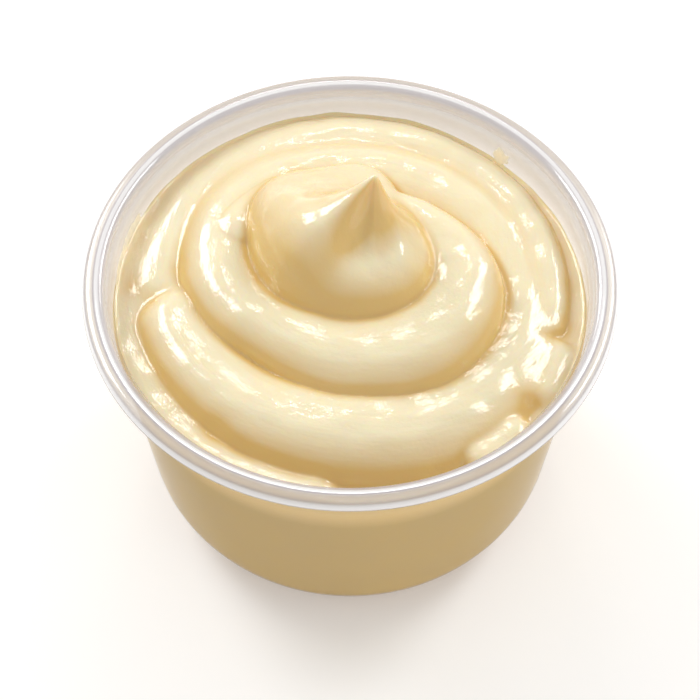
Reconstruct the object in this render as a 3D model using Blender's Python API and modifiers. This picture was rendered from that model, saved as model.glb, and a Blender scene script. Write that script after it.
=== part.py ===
"""Clear plastic portion cup with a rolled rim, filled with mayonnaise piped in one
swirl that ends in a drawn-up peak.

Metres, +Z up, the origin at the bottom centre of the cup, the front towards -Y.
Plan angles are degrees from the front (-Y), counted towards +X.
"""

import bpy
import numpy as np

MM = 0.001

# Cup
RIM_RADIUS = 37.5 * MM
RIM_HEIGHT = 46.8 * MM
WALL = 0.6 * MM
WALL_TOP_RADIUS = 34.2 * MM
WALL_TOP_Z = 44.2 * MM
FOOT_RADIUS = 30.5 * MM
CORNER_RADIUS = 11.0 * MM
CORNER_STEPS = 6
RECESS_RADIUS = 14.0 * MM
RECESS_DEPTH = 0.6 * MM
RECESS_SLOPE = 1.0 * MM
LEDGE_RADIUS = 34.55 * MM
LEDGE_Z = 44.9 * MM
SKIRT_Z = 45.3 * MM
# Middle of the rolled rim: distance in from the outer edge, distance below the top
RIM_ROLL = ((2.9, 1.0), (2.5, 0.5), (1.8, 0.3), (1.0, 0.38), (0.5, 0.75))
CUP_SEGMENTS = 68

# Mayonnaise
GAP = 0.3 * MM
FILL_SEGMENTS = 90
FILL_RINGS = 40
FILL_CROWDING = 1.15
SIDE_RINGS = 3

# The relief is worked out in shares of the rim's radius, measured from the rim. Its
# tables hold one value for every STEP degrees of plan angle.
STEP = 45.0
COIL_FIRST = 270.0
RING_FIRST = 45.0

# Main coil: crest radius, crest's drop below the rim, width of the outer flank
COIL_START, COIL_END = 281.0, 900.0
COIL_RADII = (
    0.680, 0.635, 0.620, 0.650, 0.650, 0.625, 0.595, 0.575, 0.475, 0.335, 0.340, 0.395,
    0.440, 0.370, 0.33,
)
COIL_DROPS = (
    0.085, 0.070, 0.060, 0.085, 0.100, 0.075, 0.055, 0.035, 0.015, 0.000, -0.01, -0.03,
    -0.04, -0.04, -0.04,
)
COIL_OUTER = (
    0.165, 0.152, 0.195, 0.235, 0.125, 0.130, 0.145, 0.195, 0.175, 0.155, 0.190, 0.185,
    0.138, 0.090, 0.08,
)
COIL_INNER = 1.25

# Outer coil against the wall, under the start of the main one
RING_START, RING_END = 80.0, 262.0
RING_RADII = (0.745, 0.766, 0.778, 0.768, 0.735, 0.715, 0.700)
RING_DROPS = (0.170, 0.116, 0.104, 0.085, 0.092, 0.118, 0.230)
RING_WIDTHS = (0.060, 0.068, 0.098, 0.135, 0.215, 0.205, 0.150)
RING_BLEND = 0.016

# Short lobes: start, end, radius, drop, width, how softly they join what is round them
LOBES = (
    (286.0, 330.0, 0.865, 0.165, 0.085, 0.014),
    (337.0, 350.0, 0.862, 0.160, 0.125, 0.014),
    (35.0, 44.0, 0.850, 0.130, 0.086, 0.008),
    (61.0, 68.0, 0.815, 0.138, 0.105, 0.030),
    (214.0, 238.0, 0.480, 0.022, 0.090, 0.030),
)

# Lowest layer along the wall
LAYER_DROPS = (0.205, 0.178, 0.160, 0.165, 0.145, 0.150, 0.152, 0.172, 0.205)

# Dollop with the drawn-up peak, one value for every 30 degrees round the peak's foot
DOLLOP_EDGE = (0.365, 0.335, 0.285, 0.228, 0.195, 0.22, 0.36, 0.405, 0.500, 0.475, 0.435, 0.395)
DOLLOP_SHOULDER = (0.55, 0.50, 0.25, 0.10, 0.10, 0.20, 0.35, 0.35, 0.42, 0.46, 0.52, 0.55)
DOLLOP_LEVEL = (
    0.115, 0.110, 0.105, 0.100, 0.080, 0.055, 0.055, 0.080, 0.120, 0.165, 0.180, 0.130,
)
DOLLOP_FOOT = (-0.10, -0.10, -0.10, -0.09, -0.06, -0.03, -0.02, -0.01, -0.03, -0.08, -0.10, -0.10)
PEAK_FOOT = (0.09, 0.145)
PEAK_TOP = 0.375
PEAK_REACH = (
    0.068, 0.066, 0.066, 0.064, 0.060, 0.056, 0.058, 0.072, 0.100, 0.170, 0.190, 0.080,
)
TIP_RADIUS = 0.018
BLEND = 0.012

CREAM = (0.93, 0.84, 0.62, 1.0)
CLEAR = (0.93, 0.92, 0.90, 0.35)


def clear_scene():
    for item in list(bpy.data.objects):
        bpy.data.objects.remove(item, do_unlink=True)


def material(name, colour, roughness, transmission=0.0, subsurface=0.0):
    made = bpy.data.materials.new(name)
    made.use_nodes = True
    made.diffuse_color = colour
    shader = made.node_tree.nodes["Principled BSDF"]
    shader.inputs["Base Color"].default_value = (*colour[:3], 1.0)
    shader.inputs["Alpha"].default_value = colour[3]
    shader.inputs["Roughness"].default_value = roughness
    shader.inputs["Transmission Weight"].default_value = transmission
    shader.inputs["Subsurface Weight"].default_value = subsurface
    shader.inputs["Subsurface Scale"].default_value = 2.0 * MM
    return made


def add_object(name, points, edges, faces, skin, collection):
    mesh = bpy.data.meshes.new(name)
    mesh.from_pydata(points, edges, faces)
    mesh.materials.append(skin)
    made = bpy.data.objects.new(name, mesh)
    collection.objects.link(made)
    return made


def wall_centreline():
    """Middle of the cup's wall from the floor's centre out, up and over the rim."""
    lean = (WALL_TOP_RADIUS - FOOT_RADIUS) / WALL_TOP_Z
    tilt = np.arctan(lean)
    centre = FOOT_RADIUS + CORNER_RADIUS * (lean - 1.0 / np.cos(tilt))
    turn = np.linspace(-0.5 * np.pi, -tilt, CORNER_STEPS + 1)
    bend = CORNER_RADIUS - 0.5 * WALL
    half = 0.5 * WALL
    line = [
        (0.0, RECESS_DEPTH + half),
        (RECESS_RADIUS - 0.5 * RECESS_SLOPE, RECESS_DEPTH + half),
        (RECESS_RADIUS + 0.5 * RECESS_SLOPE, half),
    ]
    line += zip(centre + bend * np.cos(turn), CORNER_RADIUS + bend * np.sin(turn))
    line.append((WALL_TOP_RADIUS - half, WALL_TOP_Z))
    line.append((LEDGE_RADIUS, LEDGE_Z))
    line += [(RIM_RADIUS - inward * MM, RIM_HEIGHT - down * MM) for inward, down in RIM_ROLL]
    line.append((RIM_RADIUS - half, SKIRT_Z))
    return np.array(line)


def beside(line, away):
    """The line moved sideways, to the inside of the cup where away is positive."""
    run = np.diff(line, axis=0)
    run /= np.linalg.norm(run, axis=1)[:, None]
    side = np.stack([-run[:, 1], run[:, 0]], axis=1)
    before = np.vstack([side[:1], side])
    after = np.vstack([side, side[-1:]])
    shared = 1.0 + (before * after).sum(axis=1)
    return line + away * (before + after) / shared[:, None]


def build_cup(collection):
    line = wall_centreline()
    profile = np.vstack([beside(line, 0.5 * WALL), beside(line, -0.5 * WALL)[::-1]])
    points = [(radius, 0.0, height) for radius, height in profile]
    edges = [(i, i + 1) for i in range(len(points) - 1)]
    clear = material("clear_plastic", CLEAR, 0.08, transmission=0.9)
    cup = add_object("cup", points, edges, [], clear, collection)
    turned = cup.modifiers.new("turned", "SCREW")
    turned.axis = "Z"
    turned.angle = 2.0 * np.pi
    turned.steps = turned.render_steps = CUP_SEGMENTS
    turned.use_merge_vertices = True
    turned.merge_threshold = 0.01 * MM
    turned.use_smooth_shade = True


def mix(first, last, share):
    return first + (last - first) * share


def curve(before, low, high, after, t):
    """Catmull-Rom value between low and high."""
    bend = 2 * before - 5 * low + 4 * high - after + t * (3 * (low - high) + after - before)
    return low + 0.5 * t * (high - before + t * bend)


def table(angle, values, start):
    """Smooth value at an angle from values given every STEP degrees from start."""
    values = np.asarray(values)
    place = np.clip((angle - start) / STEP, 0.0, len(values) - 1.0)
    low = np.minimum(place.astype(int), len(values) - 2)
    held = [values[np.clip(low + k, 0, len(values) - 1)] for k in (-1, 0, 1, 2)]
    return curve(*held, place - low)


def round_table(angle, values):
    """Smooth value at an angle from values spread evenly over one full turn."""
    values = np.asarray(values)
    place = angle / 360.0 * len(values)
    low = np.floor(place).astype(int)
    held = [values[(low + k) % len(values)] for k in (-1, 0, 1, 2)]
    return curve(*held, place - low)


def rope(side, past, outer, inner, crest):
    """Rounded cross-section of a strand, steeper on its outer side than on its inner one."""
    lean = np.clip(0.5 + side / outer, 0.0, 1.0)
    lean = lean * lean * (3.0 - 2.0 * lean)
    width = mix(outer * inner, outer, lean)
    steep = mix(0.6, 1.0, lean)
    away = np.hypot(side, past)
    share = np.minimum(away / width, 1.0)
    drop = steep * width * (1.0 - np.sqrt(1.0 - share**2 * 0.998))
    return crest - drop - 2.5 * np.maximum(away - width, 0.0)


def strand(x, y, start, end, radius, drop, outer, inner=1.0):
    """Height of a strand that runs round from start to end with rounded ends."""
    out = np.hypot(x, y)
    around = np.degrees(np.arctan2(x, -y)) % 360.0
    high = np.full_like(out, -1.0)
    for turn in range(int(start // 360) - 1, int(end // 360) + 2):
        angle = around + 360.0 * turn
        held = np.clip(angle, start, end)
        past = np.radians(np.abs(angle - held)) * out
        high = np.maximum(high, rope(out - radius(held), past, outer(held), inner, -drop(held)))
    return high


def always(number):
    return lambda angle: number + 0.0 * angle


def listed(values, start):
    return lambda angle: table(angle, values, start)


def dollop(x, y):
    """Height of the dollop, from its edge over its shoulder up the peak."""
    x, y = x - PEAK_FOOT[0], y - PEAK_FOOT[1]
    around = np.degrees(np.arctan2(x, -y)) % 360.0
    out = np.hypot(x, y)
    edge, shoulder, level, foot, reach = (
        round_table(around, values)
        for values in (DOLLOP_EDGE, DOLLOP_SHOULDER, DOLLOP_LEVEL, DOLLOP_FOOT, PEAK_REACH)
    )
    spike = (PEAK_TOP - level) * np.exp(-(np.hypot(out, TIP_RADIUS) - TIP_RADIUS) / reach)
    width = edge * (1.0 - shoulder)
    past = np.maximum(out - edge * shoulder, 0.0)
    share = np.minimum(past / width, 1.0)
    drop = (level - foot) * (1.0 - np.sqrt(1.0 - share**2 * 0.998))
    return level + spike - drop - 2.5 * np.maximum(past - width, 0.0)


def joined(parts, blend):
    """The highest of the parts, rounded where two of them meet."""
    top = np.max(parts, axis=0)
    return top + blend * np.log(sum(np.exp((part - top) / blend) for part in parts))


def relief(x, y):
    """Height of the mayonnaise over plan points."""
    around = np.degrees(np.arctan2(x, -y)) % 360.0
    coil = (listed(values, COIL_FIRST) for values in (COIL_RADII, COIL_DROPS, COIL_OUTER))
    ring = (listed(values, RING_FIRST) for values in (RING_RADII, RING_DROPS, RING_WIDTHS))
    high = joined(
        [
            -table(around, LAYER_DROPS, 0.0),
            strand(x, y, COIL_START, COIL_END, *coil, COIL_INNER),
            dollop(x, y),
        ],
        BLEND,
    )
    high = joined([high, strand(x, y, RING_START, RING_END, *ring)], RING_BLEND)
    for start, end, *shape, blend in LOBES:
        lobe = strand(x, y, start, end, *(always(number) for number in shape))
        high = joined([high, lobe], blend)
    return high


def mayo_height(x, y):
    """Height of the mayonnaise over plan points in metres, measured from the rim."""
    return RIM_RADIUS * relief(x / RIM_RADIUS, y / RIM_RADIUS)


def build_mayonnaise(collection):
    corner_end = 3 + CORNER_STEPS
    skin = beside(wall_centreline(), 0.5 * WALL + GAP)[: corner_end + 2]
    turn = np.linspace(0.0, 2.0 * np.pi, FILL_SEGMENTS, endpoint=False)
    around = np.stack([np.sin(turn), -np.cos(turn)])

    # The edge follows the wall's lean at the height that the surface has there
    edge = np.full(FILL_SEGMENTS, WALL_TOP_RADIUS)
    for _ in range(4):
        level = RIM_HEIGHT + mayo_height(*(edge * around))
        edge = np.interp(level, skin[corner_end:, 1], skin[corner_end:, 0])

    foot = RIM_RADIUS * np.array(PEAK_FOOT)
    rings = []
    for share in (np.arange(1, FILL_RINGS + 1) / FILL_RINGS) ** FILL_CROWDING:
        x, y = edge * share * around + foot[:, None] * (1.0 - share)
        rings.append(np.stack([x, y, RIM_HEIGHT + mayo_height(x, y)], axis=1))
    for share in np.arange(1, SIDE_RINGS) / SIDE_RINGS:
        radius = mix(edge, skin[corner_end, 0], share)
        height = mix(rings[FILL_RINGS - 1][:, 2], skin[corner_end, 1], share)
        rings.append(np.stack([*(radius * around), height], axis=1))
    for radius, height in skin[corner_end:0:-1]:
        rings.append(np.stack([*(radius * around), np.full(FILL_SEGMENTS, height)], axis=1))

    top = [(*foot, RIM_HEIGHT + float(mayo_height(*foot)))]
    points = np.vstack([top, *rings, [(0.0, 0.0, skin[0, 1])]])
    following = [(j, (j + 1) % FILL_SEGMENTS) for j in range(FILL_SEGMENTS)]
    faces = [(0, 1 + j, 1 + k) for j, k in following]
    for first in range(1, len(points) - 1 - FILL_SEGMENTS, FILL_SEGMENTS):
        last = first + FILL_SEGMENTS
        faces += [(first + j, last + j, last + k, first + k) for j, k in following]
    last = len(points) - 1
    first = last - FILL_SEGMENTS
    faces += [(first + k, first + j, last) for j, k in following]
    cream = material("mayonnaise", CREAM, 0.25, subsurface=0.3)
    fill = add_object("mayonnaise", points.tolist(), [], faces, cream, collection)
    for face in fill.data.polygons:
        face.use_smooth = True


def main():
    clear_scene()
    collection = bpy.data.collections.new("mayonnaise_portion_cup")
    bpy.context.scene.collection.children.link(collection)
    build_cup(collection)
    build_mayonnaise(collection)


if __name__ == "__main__":
    main()
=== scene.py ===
"""Looks of the clear portion cup filled with piped mayonnaise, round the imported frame.

Plan angles are degrees from the front (-Y), counted towards +X. The relief of the
mayonnaise is worked out in shares of the rim's radius, measured from the rim.
"""

import math

import bpy
import numpy as np
from mathutils import Matrix, Vector, noise


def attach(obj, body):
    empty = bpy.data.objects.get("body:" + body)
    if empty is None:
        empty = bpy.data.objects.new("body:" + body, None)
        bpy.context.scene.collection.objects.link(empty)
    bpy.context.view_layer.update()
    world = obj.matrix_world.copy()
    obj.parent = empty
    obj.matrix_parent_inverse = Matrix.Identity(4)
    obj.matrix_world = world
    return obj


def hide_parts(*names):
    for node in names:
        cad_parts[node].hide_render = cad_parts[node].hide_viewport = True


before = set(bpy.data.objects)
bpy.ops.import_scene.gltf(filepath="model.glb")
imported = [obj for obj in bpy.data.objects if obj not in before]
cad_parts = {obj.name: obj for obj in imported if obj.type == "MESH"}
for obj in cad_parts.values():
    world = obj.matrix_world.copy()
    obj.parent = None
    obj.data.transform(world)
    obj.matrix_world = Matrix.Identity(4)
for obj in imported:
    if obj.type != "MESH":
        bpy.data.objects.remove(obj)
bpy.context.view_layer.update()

MM = 0.001

# Cup, as in the frame
RIM_RADIUS = 37.5 * MM
RIM_HEIGHT = 46.8 * MM
WALL = 0.6 * MM
WALL_TOP_RADIUS = 34.2 * MM
WALL_TOP_Z = 44.2 * MM
FOOT_RADIUS = 30.5 * MM
CORNER_RADIUS = 11.0 * MM
CORNER_STEPS = 14
RECESS_RADIUS = 14.0 * MM
RECESS_DEPTH = 0.6 * MM
RECESS_SLOPE = 1.0 * MM
LEDGE_RADIUS = 34.55 * MM
LEDGE_Z = 44.9 * MM
SKIRT_Z = 45.3 * MM
RIM_ROLL = ((2.9, 1.0), (2.5, 0.5), (1.8, 0.3), (1.0, 0.38), (0.5, 0.75))
ROUNDING = 6
CUP_SEGMENTS = 256

# Mayonnaise: its sides reach a little into the wall, from some way below its edge
FILL_SEGMENTS = 384
FILL_RINGS = 210
FILL_CROWDING = 1.1
SIDE_RINGS = 12
INTO_WALL = 0.45 * MM
INTO_WALL_FROM = 1.2 * MM

# The relief is worked out in shares of the rim's radius, measured from the rim. Its
# tables hold one value for every STEP degrees of plan angle.
STEP = 45.0
COIL_FIRST = 270.0
RING_FIRST = 45.0

# Main coil: crest radius, crest's drop below the rim, width of the outer flank
COIL_START, COIL_END = 281.0, 900.0
COIL_RADII = (
    0.680, 0.635, 0.620, 0.650, 0.650, 0.625, 0.595, 0.575, 0.475, 0.335, 0.340, 0.395,
    0.440, 0.370, 0.33,
)
COIL_DROPS = (
    0.085, 0.070, 0.060, 0.085, 0.100, 0.075, 0.055, 0.035, 0.015, 0.000, -0.01, -0.03,
    -0.04, -0.04, -0.04,
)
COIL_OUTER = (
    0.165, 0.152, 0.195, 0.235, 0.125, 0.130, 0.145, 0.195, 0.175, 0.155, 0.190, 0.185,
    0.138, 0.090, 0.08,
)
COIL_INNER = 1.25

# Outer coil against the wall, under the start of the main one
RING_START, RING_END = 80.0, 262.0
RING_RADII = (0.745, 0.766, 0.778, 0.768, 0.735, 0.715, 0.700)
RING_DROPS = (0.170, 0.116, 0.104, 0.085, 0.092, 0.118, 0.230)
RING_WIDTHS = (0.060, 0.068, 0.098, 0.135, 0.215, 0.205, 0.150)
RING_BLEND = 0.016

# Short lobes: start, end, radius, drop, width, how softly they join what is round them
LOBES = (
    (286.0, 330.0, 0.865, 0.165, 0.085, 0.014),
    (337.0, 350.0, 0.862, 0.160, 0.125, 0.014),
    (35.0, 44.0, 0.850, 0.130, 0.086, 0.008),
    (61.0, 68.0, 0.815, 0.138, 0.105, 0.030),
    (214.0, 238.0, 0.480, 0.022, 0.090, 0.030),
)

# Lowest layer along the wall
LAYER_DROPS = (0.205, 0.178, 0.160, 0.165, 0.145, 0.150, 0.152, 0.172, 0.205)

# Dollop with the drawn-up peak, one value for every 30 degrees round the peak's foot
DOLLOP_EDGE = (
    0.365, 0.335, 0.285, 0.228, 0.195, 0.22, 0.36, 0.405, 0.500, 0.475, 0.435, 0.395,
)
DOLLOP_SHOULDER = (
    0.55, 0.50, 0.25, 0.10, 0.10, 0.20, 0.35, 0.35, 0.42, 0.46, 0.52, 0.55,
)
DOLLOP_LEVEL = (
    0.115, 0.110, 0.105, 0.100, 0.080, 0.055, 0.055, 0.080, 0.120, 0.165, 0.180, 0.130,
)
DOLLOP_FOOT = (
    -0.10, -0.10, -0.10, -0.09, -0.06, -0.03, -0.02, -0.01, -0.03, -0.08, -0.10, -0.10,
)
PEAK_FOOT = (0.09, 0.145)
PEAK_TOP = 0.375
PEAK_REACH = (
    0.068, 0.066, 0.066, 0.064, 0.060, 0.056, 0.058, 0.072, 0.100, 0.170, 0.190, 0.080,
)
TIP_RADIUS = 0.018
BLEND = 0.012

# Edge of the fill, drawn a little up the wall
FILM_FOOT = 0.35 * MM
FILM_RINGS = 6
FILM_CLIMB = 0.30 * MM
FILM_UNEVEN = 0.8
FILM_OFF_WALL = 0.02 * MM

# Thin smears on the inner wall: angle, height, half width in degrees, half height, seed
SMEARS = (
    (252.0, 41.0 * MM, 9.0, 2.2 * MM, 1.0),
    (263.0, 40.2 * MM, 12.0, 1.9 * MM, 2.0),
    (137.5, 42.2 * MM, 2.6, 1.5 * MM, 3.0),
    (96.0, 39.9 * MM, 9.0, 1.0 * MM, 4.0),
)
SMEAR_THICKNESS = 0.16 * MM
SMEAR_SUNK = 0.05 * MM
SMEAR_RAGGED = 0.5
SMEAR_COLOUR = (0.98, 0.94, 0.80)
SMEAR_ALPHA = 0.75
# Painted light: the smears glow for light shining through them
SMEAR_GLOW = 0.2

# Painted shade: the fill is made more golden on steep flanks and in hollows, where shade falls, and
# paler at the tip as painted light
STEEP_PAINTED_SHADE = 3.0
HOLLOW_REACH = 1.5 * MM
HOLLOW_DEPTH = 0.9 * MM
# By the wall the painted shade is held down to this
WALL_EDGE_PAINTED_SHADE = 0.25
BY_WALL_FROM = 0.84
BY_WALL_OVER = 0.03
TIP_PAINTED_LIGHT = 0.7
TIP_PAINTED_LIGHT_REACH = 0.045

# Spots of painted shade, more golden, and of painted light, paler where the strength is negative:
# angle, radius, reach, strength
PAINTED_SHADE_AND_LIGHT_SPOTS = (
    (79.0, 0.825, 0.055, 0.65),
    (92.0, 0.85, 0.05, 0.35),
    (106.0, 0.855, 0.05, 0.30),
    (53.5, 0.81, 0.05, 0.6),
    (267.0, 0.85, 0.05, 0.5),
    (263.0, 0.67, 0.035, 0.4),
    (321.0, 0.78, 0.05, 0.5),
    (203.0, 0.55, 0.06, 0.35),
    (101.0, 0.27, 0.10, -0.40),
)

# Uneven waves on the surface
RIPPLE_ACROSS = 1.7 * MM
RIPPLE_HEIGHT = 0.07 * MM
RIPPLE_SLOW = 3.8 * MM
RIPPLE_SLOW_HEIGHT = 0.22 * MM
RIPPLE_CALM = 6.0 * MM

# Finishes, with painted light and shade
STREAKS_FROM = 7.0 * MM
STREAKS_TO = 16.0 * MM
CREAM = (0.94, 0.82, 0.555)
PALE = (0.95, 0.855, 0.63)
# Painted shade colour of the mayonnaise; the side's random mottling also uses it
GOLD = (0.83, 0.585, 0.22)
# Painted shade: the mayonnaise behind the wall is darker, lighter near the top and darkest towards
# the base
SIDE_SHADE_COLOUR = (0.57, 0.41, 0.185)
SIDE_TOP_PAINTED_LIGHT = (0.86, 0.635, 0.31)
SIDE_TOP_LIGHT_FROM = 32.5 * MM
SIDE_TOP_LIGHT_TO = 37.0 * MM
SIDE_BASE_PAINTED_SHADE = (0.38, 0.23, 0.09)
SIDE_BASE_SHADE_FROM = 4.8 * MM
SIDE_BASE_SHADE_TO = 9.5 * MM
# Painted shade: the clear wall's warm colour stands in for shade and the mayonnaise seen through it
WALL_PAINTED_SHADE = (0.50, 0.38, 0.20)
HAZE = (0.74, 0.71, 0.72)
# Painted shade: darker colours where the plastic is seen edge-on
RIM_EDGE_PAINTED_SHADE = (0.47, 0.37, 0.30)
BODY_EDGE_PAINTED_SHADE = (0.36, 0.26, 0.15)
EDGE_FROM = 0.6
WALL_ALPHA = 0.06
HIGH_WALL_ALPHA = 0.42
WALL_HAZE_FROM = 36.0 * MM
WALL_HAZE_TO = 44.0 * MM
# Bands over the rolled rim, inner edge to outer: place, colour, haze. The white bands are painted
# highlights, the grey and dark bands painted shade.
RIM_FROM = 34.2 * MM
RIM_HIGHLIGHT_AND_SHADE_BANDS = (
    (0.00, (0.66, 0.58, 0.53), 0.40),
    (0.14, (0.56, 0.53, 0.57), 0.60),
    (0.25, (0.60, 0.57, 0.62), 0.65),
    (0.31, (0.95, 0.95, 0.98), 0.85),
    (0.42, (0.95, 0.95, 0.98), 0.85),
    (0.48, (0.45, 0.41, 0.45), 0.65),
    (0.56, (0.80, 0.72, 0.64), 0.50),
    (0.76, (0.82, 0.74, 0.66), 0.50),
    (0.86, (0.60, 0.56, 0.58), 0.60),
    (0.91, (0.97, 0.96, 0.98), 0.90),
    (0.98, (0.97, 0.96, 0.98), 0.90),
    (1.00, (0.42, 0.31, 0.23), 0.65),
)
RIM_HAZE_FROM = 43.6 * MM
RIM_HAZE_TO = 45.4 * MM

# Camera, fitted to the rim's and the base's outlines
CAMERA_TILT = math.radians(53.2)
CAMERA_PITCH = math.radians(55.81)
CAMERA_DISTANCE = 6.5
SENSOR = 36.0
CAMERA_FOCUS = 1745.0 / 700.0 * SENSOR

# Studio: name, place, size, power, direction of the longer side, whether gloss shows it
LIGHTS = (
    ("left_softbox", (-0.30, 0.26, 0.35), (0.34, 0.18), 1.20, (0.25, 0.77, -0.59), True),
    ("right_softbox", (0.30, 0.21, 0.33), (0.34, 0.12), 0.76, (0.05, 0.77, -0.63), True),
    ("top_softbox", (0.0, 0.34, 0.44), (0.09, 0.04), 0.09, (1.0, 0.0, 0.0), True),
    ("low_softbox", (0.45, -0.25, 0.10), (0.25, 0.25), 0.32, (1.0, 0.0, 0.0), False),
)
SKY = (1.0, 0.97, 0.92)
SKY_STRENGTH = 0.57
FLOOR = (0.97, 0.98, 1.0)
FLOOR_GLOW = 0.20
FLOOR_HALF = 3.0


def mix(first, last, share):
    return first + (last - first) * share


def curve(before, low, high, after, t):
    """Catmull-Rom value between low and high."""
    bend = 2 * before - 5 * low + 4 * high - after + t * (3 * (low - high) + after - before)
    return low + 0.5 * t * (high - before + t * bend)


def table(angle, values, start):
    """Smooth value at an angle from values given every STEP degrees from start."""
    values = np.asarray(values)
    place = np.clip((angle - start) / STEP, 0.0, len(values) - 1.0)
    low = np.minimum(place.astype(int), len(values) - 2)
    held = [values[np.clip(low + k, 0, len(values) - 1)] for k in (-1, 0, 1, 2)]
    return curve(*held, place - low)


def round_table(angle, values):
    """Smooth value at an angle from values spread evenly over one full turn."""
    values = np.asarray(values)
    place = angle / 360.0 * len(values)
    low = np.floor(place).astype(int)
    held = [values[(low + k) % len(values)] for k in (-1, 0, 1, 2)]
    return curve(*held, place - low)


def rope(side, past, outer, inner, crest):
    """Rounded cross-section of a strand, steeper on its outer side than on its inner one."""
    lean = np.clip(0.5 + side / outer, 0.0, 1.0)
    lean = lean * lean * (3.0 - 2.0 * lean)
    width = mix(outer * inner, outer, lean)
    steep = mix(0.6, 1.0, lean)
    away = np.hypot(side, past)
    share = np.minimum(away / width, 1.0)
    drop = steep * width * (1.0 - np.sqrt(1.0 - share**2 * 0.998))
    return crest - drop - 2.5 * np.maximum(away - width, 0.0)


def strand(x, y, start, end, radius, drop, outer, inner=1.0):
    """Height of a strand that runs round from start to end with rounded ends."""
    out = np.hypot(x, y)
    around = np.degrees(np.arctan2(x, -y)) % 360.0
    high = np.full_like(out, -1.0)
    for turn in range(int(start // 360) - 1, int(end // 360) + 2):
        angle = around + 360.0 * turn
        held = np.clip(angle, start, end)
        past = np.radians(np.abs(angle - held)) * out
        high = np.maximum(high, rope(out - radius(held), past, outer(held), inner, -drop(held)))
    return high


def always(number):
    return lambda angle: number + 0.0 * angle


def listed(values, start):
    return lambda angle: table(angle, values, start)


def dollop(x, y):
    """Height of the dollop, from its edge over its shoulder up the peak."""
    x, y = x - PEAK_FOOT[0], y - PEAK_FOOT[1]
    around = np.degrees(np.arctan2(x, -y)) % 360.0
    out = np.hypot(x, y)
    edge, shoulder, level, foot, reach = (
        round_table(around, values)
        for values in (DOLLOP_EDGE, DOLLOP_SHOULDER, DOLLOP_LEVEL, DOLLOP_FOOT, PEAK_REACH)
    )
    spike = (PEAK_TOP - level) * np.exp(-(np.hypot(out, TIP_RADIUS) - TIP_RADIUS) / reach)
    width = edge * (1.0 - shoulder)
    past = np.maximum(out - edge * shoulder, 0.0)
    share = np.minimum(past / width, 1.0)
    drop = (level - foot) * (1.0 - np.sqrt(1.0 - share**2 * 0.998))
    return level + spike - drop - 2.5 * np.maximum(past - width, 0.0)


def joined(parts, blend):
    """The highest of the parts, rounded where two of them meet."""
    top = np.max(parts, axis=0)
    return top + blend * np.log(sum(np.exp((part - top) / blend) for part in parts))


def relief(x, y):
    """Height of the mayonnaise over plan points."""
    around = np.degrees(np.arctan2(x, -y)) % 360.0
    coil = (listed(values, COIL_FIRST) for values in (COIL_RADII, COIL_DROPS, COIL_OUTER))
    ring = (listed(values, RING_FIRST) for values in (RING_RADII, RING_DROPS, RING_WIDTHS))
    high = joined(
        [
            -table(around, LAYER_DROPS, 0.0),
            strand(x, y, COIL_START, COIL_END, *coil, COIL_INNER),
            dollop(x, y),
        ],
        BLEND,
    )
    high = joined([high, strand(x, y, RING_START, RING_END, *ring)], RING_BLEND)
    for start, end, *shape, blend in LOBES:
        lobe = strand(x, y, start, end, *(always(number) for number in shape))
        high = joined([high, lobe], blend)
    return high


def ripples(x, y):
    """Small uneven waves along the strands, in metres."""
    x, y = x - PEAK_FOOT[0] * RIM_RADIUS, y - PEAK_FOOT[1] * RIM_RADIUS
    out, around = np.hypot(x, y), np.arctan2(x, -y)
    heights = []
    for dx, dy, r, a in zip(x, y, out, around):
        slow = noise.noise(Vector((dx / RIPPLE_SLOW, dy / RIPPLE_SLOW, 3.7)))
        along = Vector((r / RIPPLE_ACROSS, 5.0 * math.sin(a), 5.0 * math.cos(a)))
        heights.append(RIPPLE_SLOW_HEIGHT * slow + RIPPLE_HEIGHT * noise.noise(along))
    return np.array(heights) * np.minimum(out / RIPPLE_CALM, 1.0)


def mayo_height(x, y):
    return RIM_HEIGHT + RIM_RADIUS * relief(x / RIM_RADIUS, y / RIM_RADIUS)


def rounded(points, parts):
    """Catmull-Rom curve through the points, cut into parts between each two."""
    points = np.asarray(points)
    ends = np.vstack([2 * points[0] - points[1], points, 2 * points[-1] - points[-2]])
    t = np.linspace(0.0, 1.0, parts, endpoint=False)[:, None]
    line = []
    for a, b, c, d in zip(ends, ends[1:], ends[2:], ends[3:]):
        line.append(curve(a, b, c, d, t))
    return np.vstack([*line, points[-1:]])


def wall_centreline():
    """Middle of the cup's wall from the floor's centre out, up and over the rim."""
    lean = (WALL_TOP_RADIUS - FOOT_RADIUS) / WALL_TOP_Z
    tilt = np.arctan(lean)
    centre = FOOT_RADIUS + CORNER_RADIUS * (lean - 1.0 / np.cos(tilt))
    turn = np.linspace(-0.5 * np.pi, -tilt, CORNER_STEPS + 1)
    bend = CORNER_RADIUS - 0.5 * WALL
    half = 0.5 * WALL
    floor = [
        (0.0, RECESS_DEPTH + half),
        (RECESS_RADIUS - 0.5 * RECESS_SLOPE, RECESS_DEPTH + half),
        (RECESS_RADIUS + 0.5 * RECESS_SLOPE, half),
    ]
    corner = list(zip(centre + bend * np.cos(turn), CORNER_RADIUS + bend * np.sin(turn)))
    wall_top = (WALL_TOP_RADIUS - half, WALL_TOP_Z)
    near_top = (wall_top[0] - lean * 0.7 * MM, WALL_TOP_Z - 0.7 * MM)
    roll = [(RIM_RADIUS - inward * MM, RIM_HEIGHT - down * MM) for inward, down in RIM_ROLL]
    rim = [near_top, wall_top, (LEDGE_RADIUS, LEDGE_Z), *roll, (RIM_RADIUS - half, SKIRT_Z)]
    return np.vstack([floor, corner, rounded(rim, ROUNDING)])


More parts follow.
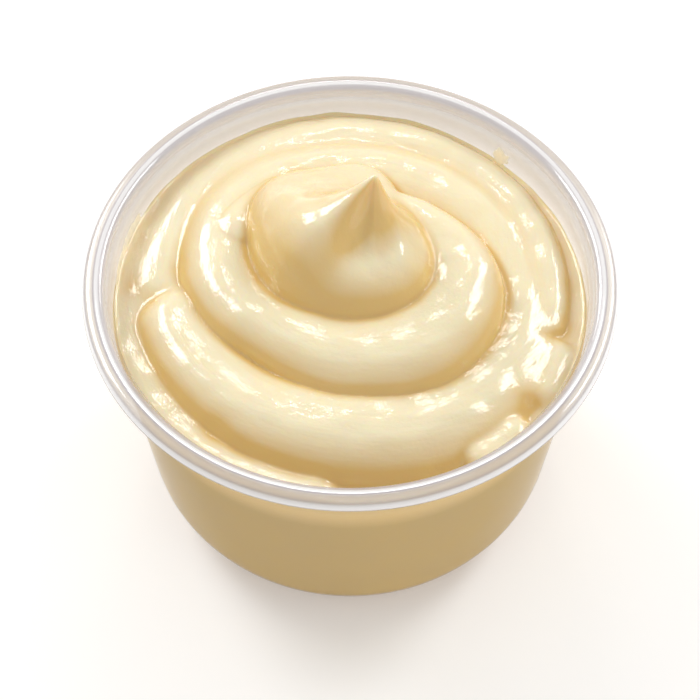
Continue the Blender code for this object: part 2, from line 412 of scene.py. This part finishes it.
def beside(line, away):
    """The line moved sideways, to the inside of the cup where away is positive."""
    run = np.diff(line, axis=0)
    run /= np.linalg.norm(run, axis=1)[:, None]
    side = np.stack([-run[:, 1], run[:, 0]], axis=1)
    before = np.vstack([side[:1], side])
    after = np.vstack([side, side[-1:]])
    shared = 1.0 + (before * after).sum(axis=1)
    return line + away * (before + after) / shared[:, None]


def circle(count):
    turn = np.linspace(0.0, 2.0 * np.pi, count, endpoint=False)
    return np.stack([np.sin(turn), -np.cos(turn)])


def make_piece(name, points, faces, skin, smooth=True):
    mesh = bpy.data.meshes.new(name)
    mesh.from_pydata(np.asarray(points).tolist(), [], faces)
    mesh.materials.append(skin)
    for face in mesh.polygons:
        face.use_smooth = smooth
    mesh.update()
    made = bpy.data.objects.new(name, mesh)
    bpy.context.scene.collection.objects.link(made)
    return made


def skinned(first, rings, last, count):
    """Points and faces of a closed form from one end point over rings to the other."""
    points = np.vstack([[first], *rings, [last]])
    following = [(j, (j + 1) % count) for j in range(count)]
    faces = [(0, 1 + j, 1 + k) for j, k in following]
    for i in range(len(rings) - 1):
        a, b = 1 + i * count, 1 + (i + 1) * count
        faces += [(a + j, b + j, b + k, a + k) for j, k in following]
    a, end = 1 + (len(rings) - 1) * count, len(points) - 1
    faces += [(a + k, a + j, end) for j, k in following]
    return points, faces


def ring_at(radius, height, around):
    return np.stack([*(radius * around), np.full(around.shape[1], height)], axis=1)


def build_cup(skin):
    line = wall_centreline()
    profile = np.vstack([beside(line, 0.5 * WALL), beside(line, -0.5 * WALL)[::-1]])
    around = circle(CUP_SEGMENTS)
    rings = [ring_at(radius, height, around) for radius, height in profile[1:-1]]
    ends = [(0.0, 0.0, profile[0, 1]), (0.0, 0.0, profile[-1, 1])]
    points, faces = skinned(ends[0], rings, ends[1], CUP_SEGMENTS)
    return make_piece("clear_cup", points, faces, skin)


def painted_shade_at(x, y):
    """Painted shade of the mayonnaise: more golden on steep flanks and in creases, where shade
    falls.
    """
    near = 0.25 * MM
    steep_x = (mayo_height(x + near, y) - mayo_height(x - near, y)) / (2 * near)
    steep_y = (mayo_height(x, y + near) - mayo_height(x, y - near)) / (2 * near)
    steep = 1.0 - 1.0 / np.sqrt(1.0 + steep_x**2 + steep_y**2)
    around = circle(10) * HOLLOW_REACH
    ring = sum(mayo_height(x + dx, y + dy) for dx, dy in around.T) / 10
    hollow = (ring - mayo_height(x, y)) / HOLLOW_DEPTH
    painted_shade = STEEP_PAINTED_SHADE * steep + np.clip(hollow, -0.25, 1.0)
    for angle, radius, reach, strength in PAINTED_SHADE_AND_LIGHT_SPOTS:
        place = math.radians(angle)
        off_x = x / RIM_RADIUS - radius * math.sin(place)
        off_y = y / RIM_RADIUS + radius * math.cos(place)
        painted_shade += strength * np.exp(-(off_x**2 + off_y**2) / reach**2)
    # painted light: the thin tip is made paler
    tip = np.hypot(x / RIM_RADIUS - PEAK_FOOT[0], y / RIM_RADIUS - PEAK_FOOT[1])
    painted_shade -= TIP_PAINTED_LIGHT * np.exp(-(tip / TIP_PAINTED_LIGHT_REACH) ** 2)
    by_wall = np.clip((np.hypot(x, y) / RIM_RADIUS - BY_WALL_FROM) / BY_WALL_OVER, 0.0, 1.0)
    return np.clip(mix(painted_shade, np.minimum(painted_shade, WALL_EDGE_PAINTED_SHADE), by_wall), 0.0, 1.0)


def film_climb():
    """How far the edge of the mayonnaise is drawn up the wall, round the cup."""
    turn = np.linspace(0.0, 2.0 * np.pi, FILL_SEGMENTS, endpoint=False)
    uneven = [noise.noise(Vector((6 * math.sin(a), 6 * math.cos(a), 5.0))) for a in turn]
    return FILM_CLIMB * (1.0 + FILM_UNEVEN * np.array(uneven))


def wall_inside(height, into=0.0):
    """Radius of the wall's inner face at a height."""
    line = beside(wall_centreline(), 0.5 * WALL - into)[3 + CORNER_STEPS :]
    return np.interp(height, line[:, 1], line[:, 0])


def build_smears(skin):
    """Thin closed patches on the inner wall, joined in one mesh."""
    count, steps = 96, 12
    points, faces = [], []
    for angle, height, half, rise, seed in SMEARS:
        turn = np.linspace(0.0, 2.0 * np.pi, count, endpoint=False)
        ragged = [
            noise.fractal(Vector((1.3 * math.sin(a), 1.3 * math.cos(a), seed)), 0.8, 2.2, 3)
            for a in turn
        ]
        reach = 1.0 + SMEAR_RAGGED * np.array(ragged)
        shares = [*(np.arange(1, steps + 1) / steps), *(np.arange(steps - 1, 0, -1) / steps)]
        rings = []
        for i, share in enumerate(shares):
            place = np.radians(angle + half * share * reach * np.sin(turn))
            level = height + rise * share * reach * np.cos(turn)
            away = SMEAR_THICKNESS * math.sqrt(1.0 - share**2) if i < steps else -SMEAR_SUNK
            radius = wall_inside(level) - away
            rings.append(np.stack([radius * np.sin(place), -radius * np.cos(place), level], axis=1))
        ends = []
        for away in (SMEAR_THICKNESS, -SMEAR_SUNK):
            radius = float(wall_inside(height)) - away
            place = math.radians(angle)
            ends.append((radius * math.sin(place), -radius * math.cos(place), height))
        patch, sides = skinned(ends[0], rings, ends[1], count)
        faces += [tuple(len(points) + i for i in side) for side in sides]
        points += patch.tolist()
    return make_piece("wall_smears", points, faces, skin)


def build_fill(skin, side_skin):
    """The fill: its relief, its edge on the wall, and sides that reach into the wall."""
    corner_end = 3 + CORNER_STEPS
    line = beside(wall_centreline(), 0.5 * WALL - INTO_WALL)
    around = circle(FILL_SEGMENTS)
    edge = np.full(FILL_SEGMENTS, WALL_TOP_RADIUS)
    for _ in range(5):
        edge = wall_inside(mayo_height(*(edge * around)))
    foot = np.array(PEAK_FOOT)[:, None] * RIM_RADIUS
    rings, painted_shade = [], [np.zeros(1)]
    for share in (np.arange(1, FILL_RINGS + 1) / FILL_RINGS) ** FILL_CROWDING:
        x, y = (edge - FILM_FOOT) * share * around + foot * (1.0 - share)
        rings.append(np.stack([x, y, mayo_height(x, y) + ripples(x, y)], axis=1))
        painted_shade.append(painted_shade_at(x, y))
    level, climb = rings[-1][:, 2], film_climb()
    for share in np.arange(1, FILM_RINGS + 1) / FILM_RINGS:
        height = level + climb * share
        radius = wall_inside(height, FILM_OFF_WALL) - FILM_FOOT * (1.0 - share) ** 1.5
        rings.append(np.stack([*(radius * around), height], axis=1))
        painted_shade.append(np.full(FILL_SEGMENTS, WALL_EDGE_PAINTED_SHADE))
    top = rings[-1][:, 2]
    for into in (0.15, 0.4, 0.7, 0.9):
        height = top - INTO_WALL_FROM * into
        radius = wall_inside(height, INTO_WALL * math.sin(0.5 * math.pi * into))
        rings.append(np.stack([*(radius * around), height], axis=1))
    for share in np.arange(0, SIDE_RINGS) / SIDE_RINGS:
        height = mix(top - INTO_WALL_FROM, line[corner_end, 1], share)
        rings.append(np.stack([*(wall_inside(height, INTO_WALL) * around), height], axis=1))
    rings += [ring_at(radius, height, around) for radius, height in line[corner_end:0:-1]]
    tip = (*foot[:, 0], float(mayo_height(*foot[:, 0])))
    points, faces = skinned(tip, rings, (0.0, 0.0, line[0, 1]), FILL_SEGMENTS)
    fill = make_piece("mayonnaise_fill", points, faces, skin)
    fill.data.materials.append(side_skin)
    for face in fill.data.polygons[(FILL_RINGS + FILM_RINGS) * FILL_SEGMENTS :]:
        face.material_index = 1
    painted_shade = np.concatenate(painted_shade)
    painted_shade = np.concatenate([painted_shade, np.ones(len(points) - len(painted_shade))])
    layer = fill.data.attributes.new("painted_shade", "FLOAT", "POINT")
    layer.data.foreach_set("value", painted_shade.astype(np.float32))
    return fill


def new_material(name, colour, roughness):
    made = bpy.data.materials.new(name)
    made.use_nodes = True
    shader = made.node_tree.nodes["Principled BSDF"]
    shader.inputs["Base Color"].default_value = (*colour, 1.0)
    shader.inputs["Roughness"].default_value = roughness
    return made, made.node_tree, shader


def add_node(tree, kind, **values):
    node = tree.nodes.new(kind)
    for key, value in values.items():
        if key in node.inputs:
            node.inputs[key].default_value = value
        else:
            setattr(node, key, value)
    return node


def polar_place(tree, turns, rings, rise, centre=(0.0, 0.0)):
    """Coordinates that run round a centre (angle, distance, height), and the distance."""
    place = add_node(tree, "ShaderNodeTexCoord")
    moved = add_node(tree, "ShaderNodeVectorMath", operation="SUBTRACT")
    moved.inputs[1].default_value = (*centre, 0.0)
    tree.links.new(place.outputs["Object"], moved.inputs[0])
    apart = add_node(tree, "ShaderNodeSeparateXYZ")
    tree.links.new(moved.outputs[0], apart.inputs[0])
    angle = add_node(tree, "ShaderNodeMath", operation="ARCTAN2")
    tree.links.new(apart.outputs["Y"], angle.inputs[0])
    tree.links.new(apart.outputs["X"], angle.inputs[1])
    flat = add_node(tree, "ShaderNodeCombineXYZ")
    tree.links.new(apart.outputs["X"], flat.inputs["X"])
    tree.links.new(apart.outputs["Y"], flat.inputs["Y"])
    out = add_node(tree, "ShaderNodeVectorMath", operation="LENGTH")
    tree.links.new(flat.outputs[0], out.inputs[0])
    together = add_node(tree, "ShaderNodeCombineXYZ")
    for source, factor, target in (
        (angle.outputs[0], turns, "X"),
        (out.outputs["Value"], rings, "Y"),
        (apart.outputs["Z"], rise, "Z"),
    ):
        scaled = add_node(tree, "ShaderNodeMath", operation="MULTIPLY")
        scaled.inputs[1].default_value = factor
        tree.links.new(source, scaled.inputs[0])
        tree.links.new(scaled.outputs[0], together.inputs[target])
    return together.outputs[0], out.outputs["Value"]


def mapped(tree, source, low, high, start=0.3, end=0.7):
    """The source's range from start to end stretched to the range from low to high."""
    ramp = add_node(tree, "ShaderNodeMapRange")
    for name, value in (("From Min", start), ("From Max", end), ("To Min", low), ("To Max", high)):
        ramp.inputs[name].default_value = value
    tree.links.new(source, ramp.inputs["Value"])
    return ramp.outputs[0]


def noise_of(tree, place, scale, detail):
    made = add_node(tree, "ShaderNodeTexNoise", Scale=scale, Detail=detail)
    tree.links.new(place, made.inputs["Vector"])
    return made.outputs["Fac"]


def bumped(tree, height, strength, distance, normal=None):
    bump = add_node(tree, "ShaderNodeBump", Strength=strength, Distance=distance)
    tree.links.new(height, bump.inputs["Height"])
    if normal is not None:
        tree.links.new(normal, bump.inputs["Normal"])
    return bump.outputs[0]


def mixed_colour(tree, share, first, last):
    made = add_node(tree, "ShaderNodeMix", data_type="RGBA")
    tree.links.new(share, made.inputs["Factor"])
    for slot, colour in (("A", first), ("B", last)):
        socket = next(s for s in made.inputs if s.name == slot and s.type == "RGBA")
        if isinstance(colour, tuple):
            socket.default_value = (*colour, 1.0)
        else:
            tree.links.new(colour, socket)
    return next(s for s in made.outputs if s.type == "RGBA")


def mayonnaise_material():
    made, tree, shader = new_material("mayonnaise", CREAM, 0.12)
    shader.inputs["Subsurface Weight"].default_value = 0.45
    shader.inputs["Subsurface Radius"].default_value = (1.0, 0.6, 0.2)
    shader.inputs["Subsurface Scale"].default_value = 2.2 * MM
    shader.inputs["IOR"].default_value = 1.75
    place = add_node(tree, "ShaderNodeTexCoord").outputs["Object"]
    centre = (PEAK_FOOT[0] * RIM_RADIUS, PEAK_FOOT[1] * RIM_RADIUS)
    rounds, away = polar_place(tree, 7.0, 1300.0, 900.0, centre)
    streaks = noise_of(tree, rounds, 1.0, 4.0)
    far = mapped(tree, away, 0.0, 1.0, STREAKS_FROM, STREAKS_TO)
    streaks = mixed_number(tree, far, 0.5, streaks)
    specks = noise_of(tree, place, 1500.0, 2.0)
    # painted shade: golden on steep flanks and in creases
    painted_shade = add_node(tree, "ShaderNodeAttribute", attribute_name="painted_shade").outputs["Fac"]
    cream = mixed_colour(tree, mapped(tree, streaks, 0.2, 0.8), CREAM, PALE)
    golden = mixed_colour(tree, painted_shade, cream, GOLD)
    tree.links.new(golden, shader.inputs["Base Color"])
    tree.links.new(mapped(tree, streaks, 0.05, 0.12), shader.inputs["Roughness"])
    normal = bumped(tree, streaks, 0.30, 0.20 * MM)
    normal = bumped(tree, specks, 0.25, 0.15 * MM, normal)
    tree.links.new(normal, shader.inputs["Normal"])
    return made


def side_material():
    """Mayonnaise seen through the wall: no gloss of its own, coloured in painted shade, lighter
    near the top and darker towards the base.
    """
    made, tree, shader = new_material("mayonnaise_behind_wall", SIDE_SHADE_COLOUR, 0.6)
    shader.inputs["Specular IOR Level"].default_value = 0.1
    shader.inputs["Subsurface Weight"].default_value = 0.2
    shader.inputs["Subsurface Radius"].default_value = (1.0, 0.6, 0.2)
    shader.inputs["Subsurface Scale"].default_value = 1.5 * MM
    place = add_node(tree, "ShaderNodeTexCoord").outputs["Object"]
    apart = add_node(tree, "ShaderNodeSeparateXYZ")
    tree.links.new(place, apart.inputs[0])
    # painted light near the top, painted shade towards the base
    up = mapped(tree, apart.outputs["Z"], 0.0, 1.0, SIDE_TOP_LIGHT_FROM, SIDE_TOP_LIGHT_TO)
    colour = mixed_colour(tree, up, SIDE_SHADE_COLOUR, SIDE_TOP_PAINTED_LIGHT)
    down = mapped(tree, apart.outputs["Z"], 1.0, 0.0, SIDE_BASE_SHADE_FROM, SIDE_BASE_SHADE_TO)
    colour = mixed_colour(tree, down, colour, SIDE_BASE_PAINTED_SHADE)
    clouds = noise_of(tree, place, 90.0, 3.0)
    colour = mixed_colour(tree, mapped(tree, clouds, 0.0, 0.12), colour, GOLD)
    tree.links.new(colour, shader.inputs["Base Color"])
    tree.links.new(mapped(tree, clouds, 0.5, 0.7), shader.inputs["Roughness"])
    tree.links.new(bumped(tree, clouds, 0.15, 0.3 * MM), shader.inputs["Normal"])
    return made


def smear_material():
    """Thin translucent mayonnaise, with a painted glow for light shining through it."""
    made, tree, shader = new_material("thin_mayonnaise", SMEAR_COLOUR, 0.15)
    # painted light: a glow for light shining through the smear
    shader.inputs["Emission Color"].default_value = (*SMEAR_COLOUR, 1.0)
    shader.inputs["Emission Strength"].default_value = SMEAR_GLOW
    place = add_node(tree, "ShaderNodeTexCoord").outputs["Object"]
    clouds = noise_of(tree, place, 500.0, 3.0)
    tree.links.new(mapped(tree, clouds, 0.7 * SMEAR_ALPHA, SMEAR_ALPHA), shader.inputs["Alpha"])
    tree.links.new(mapped(tree, clouds, 0.08, 0.2), shader.inputs["Roughness"])
    colour = mixed_colour(tree, mapped(tree, clouds, 0.0, 1.0), SMEAR_COLOUR, PALE)
    tree.links.new(colour, shader.inputs["Base Color"])
    tree.links.new(bumped(tree, clouds, 0.2, 0.2 * MM), shader.inputs["Normal"])
    return made


def mixed_number(tree, share, first, last):
    made = add_node(tree, "ShaderNodeMix", data_type="FLOAT")
    for place, value in enumerate((share, None, first, last)):
        if isinstance(value, float):
            made.inputs[place].default_value = value
        elif value is not None:
            tree.links.new(value, made.inputs[place])
    return made.outputs[0]


def plastic_material():
    """Clear plastic, hazier where it is thick, with painted highlight and shade bands over the
    rolled rim and painted shade where it is seen edge-on.
    """
    made, tree, shader = new_material("clear_plastic", HAZE, 0.07)
    shader.inputs["IOR"].default_value = 2.3
    place = add_node(tree, "ShaderNodeTexCoord").outputs["Object"]
    apart = add_node(tree, "ShaderNodeSeparateXYZ")
    tree.links.new(place, apart.inputs[0])
    height = apart.outputs["Z"]
    flat = add_node(tree, "ShaderNodeVectorMath", operation="MULTIPLY")
    flat.inputs[1].default_value = (1.0, 1.0, 0.0)
    tree.links.new(place, flat.inputs[0])
    out = add_node(tree, "ShaderNodeVectorMath", operation="LENGTH")
    tree.links.new(flat.outputs[0], out.inputs[0])
    over_rim = mapped(tree, out.outputs["Value"], 0.0, 1.0, RIM_FROM, RIM_RADIUS)
    # painted highlights and painted shade in bands over the rim
    bands = add_node(tree, "ShaderNodeValToRGB")
    tree.links.new(over_rim, bands.inputs[0])
    ramp = bands.color_ramp
    while len(ramp.elements) < len(RIM_HIGHLIGHT_AND_SHADE_BANDS):
        ramp.elements.new(0.5)
    for element, (share, colour, alpha) in zip(ramp.elements, RIM_HIGHLIGHT_AND_SHADE_BANDS):
        element.position = share
        element.color = (*colour, alpha)
    in_rim = mapped(tree, height, 0.0, 1.0, RIM_HAZE_FROM, RIM_HAZE_TO)
    up_wall = mapped(tree, height, 0.0, 1.0, WALL_HAZE_FROM, WALL_HAZE_TO)
    facing = add_node(tree, "ShaderNodeLayerWeight", Blend=0.35).outputs["Facing"]
    edge = mapped(tree, facing, 0.0, 1.0, EDGE_FROM, 1.0)
    colour = mixed_colour(tree, in_rim, WALL_PAINTED_SHADE, bands.outputs["Color"])
    # painted shade where the plastic is seen edge-on
    edge_shade_colour = mixed_colour(tree, in_rim, BODY_EDGE_PAINTED_SHADE, RIM_EDGE_PAINTED_SHADE)
    colour = mixed_colour(tree, edge, colour, edge_shade_colour)
    tree.links.new(colour, shader.inputs["Base Color"])
    alpha = mixed_number(tree, up_wall, WALL_ALPHA, HIGH_WALL_ALPHA)
    alpha = mixed_number(tree, in_rim, alpha, bands.outputs["Alpha"])
    tree.links.new(mixed_number(tree, edge, alpha, 0.8), shader.inputs["Alpha"])
    ripple = noise_of(tree, place, 110.0, 2.0)
    lines = noise_of(tree, polar_place(tree, 0.3, 900.0, 2500.0)[0], 1.0, 2.0)
    tree.links.new(mapped(tree, ripple, 0.05, 0.12), shader.inputs["Roughness"])
    normal = bumped(tree, ripple, 0.06, 0.3 * MM)
    normal = bumped(tree, lines, 0.06, 0.06 * MM, normal)
    tree.links.new(normal, shader.inputs["Normal"])
    return made


def add_camera():
    lens = bpy.data.cameras.new("camera")
    lens.sensor_width = SENSOR
    lens.lens = CAMERA_FOCUS
    lens.clip_start = 0.01
    camera = bpy.data.objects.new("camera", lens)
    reach = CAMERA_DISTANCE * RIM_RADIUS
    camera.location = (
        0.0,
        -reach * math.cos(CAMERA_TILT),
        RIM_HEIGHT + reach * math.sin(CAMERA_TILT),
    )
    camera.rotation_euler = (0.5 * math.pi - CAMERA_PITCH, 0.0, 0.0)
    bpy.context.scene.collection.objects.link(camera)
    bpy.context.scene.camera = camera


def add_light(name, place, size, power, along, mirrored):
    """Area light that faces the cup, its longer side along the given direction."""
    lamp = bpy.data.lights.new(name, "AREA")
    lamp.shape = "RECTANGLE"
    lamp.size, lamp.size_y = size
    lamp.energy = power
    light = bpy.data.objects.new(name, lamp)
    back = (Vector(place) - Vector((0.0, 0.0, RIM_HEIGHT))).normalized()
    side = Vector(along)
    side = (side - side.dot(back) * back).normalized()
    turned = Matrix((side, back.cross(side), back)).transposed()
    light.matrix_world = Matrix.Translation(place) @ turned.to_4x4()
    light.visible_glossy = mirrored
    bpy.context.scene.collection.objects.link(light)


def add_stage():
    floor_skin, _, shader = new_material("pale_floor", FLOOR, 0.6)
    shader.inputs["Emission Color"].default_value = (1.0, 1.0, 1.0, 1.0)
    shader.inputs["Emission Strength"].default_value = FLOOR_GLOW
    span = FLOOR_HALF
    corners = [(-span, -span, 0.0), (span, -span, 0.0), (span, span, 0.0), (-span, span, 0.0)]
    floor = make_piece("floor", corners, [(0, 1, 2, 3)], floor_skin, smooth=False)
    world = bpy.data.worlds.new("studio")
    bpy.context.scene.world = world
    world.use_nodes = True
    sky = world.node_tree.nodes["Background"]
    sky.inputs["Color"].default_value = (*SKY, 1.0)
    sky.inputs["Strength"].default_value = SKY_STRENGTH


mayonnaise = mayonnaise_material()
plastic = plastic_material()
cup = build_cup(plastic)
fill = build_fill(mayonnaise, side_material())
smears = build_smears(smear_material())
for piece, node, slot in ((cup, "cup", "clear_plastic"), (fill, "mayonnaise", "mayonnaise")):
    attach(piece, "root")
    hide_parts(node)
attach(smears, "root")

add_stage()
add_camera()
for lamp in LIGHTS:
    add_light(*lamp)
bpy.context.scene.view_settings.view_transform = "Standard"
